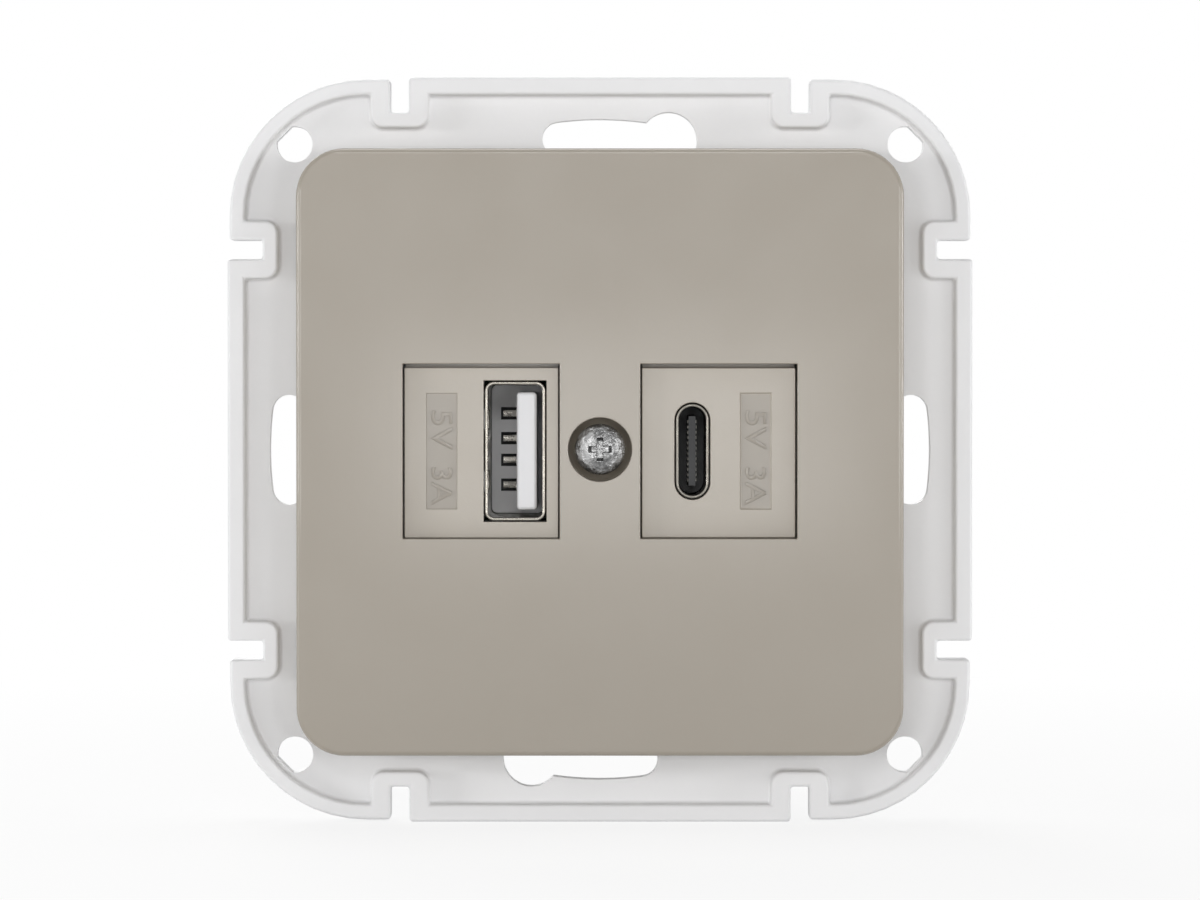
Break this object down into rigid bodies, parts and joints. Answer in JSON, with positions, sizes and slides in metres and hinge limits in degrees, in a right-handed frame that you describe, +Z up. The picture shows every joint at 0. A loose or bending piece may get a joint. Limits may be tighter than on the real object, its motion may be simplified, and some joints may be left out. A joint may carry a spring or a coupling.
{
  "type": "usb wall socket",
  "caption": "Flush wall socket with one larger and one smaller charging port in a square cover on a white support plate, with a mains converter casing behind.",
  "frame": {"origin": "middle of the support plate's back face, in the wall's plane", "axes": "+Z up, +X to the right as seen from the room, +Y into the wall, so the front faces -Y"},
  "size_m": [0.071, 0.0405, 0.071],
  "materials": {
    "taupe_plastic": "satin moulded, fine spark texture",
    "white_plastic": "satin moulded white",
    "tongue_plastic": "satin moulded white",
    "dark_plastic": "matt moulded black",
    "case_plastic": "matt moulded light grey",
    "nickel_shell": "bright nickel plate",
    "zinc_screw": "bright zinc plate",
    "steel_screw": "plain zinc plate",
    "contact_metal": "gold flash",
    "brass": "turned",
    "tinned_pins": "tin plate",
    "board_laminate": "green solder mask",
    "ferrite": "matt sintered",
    "winding_tape": "yellow polyester tape",
    "can_sleeve": "shrink sleeve with a bare top",
    "film_box": "moulded box",
    "chip_body": "moulded epoxy",
    "fuse_body": "moulded brown"
  },
  "bodies": {
    "root": {"cover": "taupe_plastic", "usb_a_insert": "taupe_plastic", "usb_c_insert": "taupe_plastic", "support_plate": "white_plastic", "cover_screw": "zinc_screw", "screw_insert": "brass", "usb_a_shell": "nickel_shell", "usb_c_shell": "nickel_shell", "usb_a_insulator": "tongue_plastic", "usb_c_insulator": "dark_plastic", "usb_a_contacts": "contact_metal", "usb_c_contacts": "contact_metal", "usb_c_riser": "dark_plastic", "front_housing": "case_plastic", "rear_housing": "case_plastic", "plate_screws": "steel_screw", "housing_screws": "steel_screw", "board_spacers": "white_plastic", "port_board": "board_laminate", "power_board": "board_laminate", "board_header": "dark_plastic", "board_pins": "tinned_pins", "transformer_core": "ferrite", "transformer_bobbin": "dark_plastic", "transformer_winding": "winding_tape", "input_capacitors": "can_sleeve", "output_capacitors": "can_sleeve", "suppression_capacitor": "film_box", "fuse": "fuse_body", "input_choke": "ferrite", "bridge_rectifier": "chip_body", "power_switch": "chip_body", "optocoupler": "chip_body", "port_controller": "chip_body", "terminal_block": "dark_plastic", "terminal_clamps": "brass", "terminal_screws": "steel_screw"}
  },
  "joints": []
}
